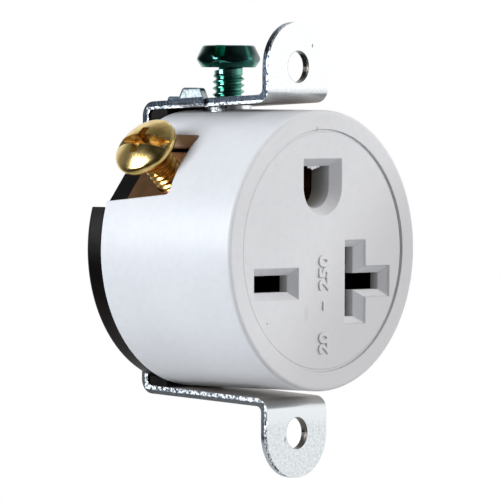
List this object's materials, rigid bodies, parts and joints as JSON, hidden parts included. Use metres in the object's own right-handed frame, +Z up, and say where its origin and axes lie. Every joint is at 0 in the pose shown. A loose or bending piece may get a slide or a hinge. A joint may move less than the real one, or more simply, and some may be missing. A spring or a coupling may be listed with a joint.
{
  "type": "single round power socket",
  "caption": "Round flush power socket with a T-slot, a straight slot and a ground hole, side terminal screws and a wrap-round steel mounting strap with two ears.",
  "frame": {"origin": "middle of the two mounting holes, on the front plane of the ears", "axes": "+X to the right of a viewer who faces the socket, +Y into the socket towards its back, +Z up, along the line of the mounting holes; the face looks along -Y"},
  "size_m": [0.0358, 0.0272, 0.057],
  "materials": {
    "white_plastic": "smooth moulded satin",
    "black_plastic": "moulded thermoset, slight sheen",
    "zinc_steel": "bright zinc plate",
    "contact_brass": "rolled brass strip",
    "screw_brass": "bright plated",
    "green_steel": "green passivated, glossy"
  },
  "bodies": {
    "socket": {"face_housing": "white_plastic", "base": "black_plastic", "mounting_strap": "zinc_steel", "left_contact": "contact_brass", "right_contact": "contact_brass", "ground_contact": "contact_brass", "upper_assembly_screw": "zinc_steel", "lower_assembly_screw": "zinc_steel", "ground_rivet": "zinc_steel"},
    "left_screw": {"left_terminal_screw": "screw_brass"},
    "right_screw": {"right_terminal_screw": "screw_brass"},
    "green_screw": {"ground_screw": "green_steel"}
  },
  "joints": [
    {"name": "left_screw_slide", "type": "slide", "parent": "socket", "child": "left_screw", "axis": [-0.766, 0, 0.6428], "range_m": [-0.00516, 0]},
    {"name": "right_screw_slide", "type": "slide", "parent": "socket", "child": "right_screw", "axis": [0.766, 0, 0.6428], "range_m": [-0.00516, 0]},
    {"name": "ground_screw_slide", "type": "slide", "parent": "socket", "child": "green_screw", "axis": [0, 0, 1], "range_m": [-0.00357, 0]}
  ]
}
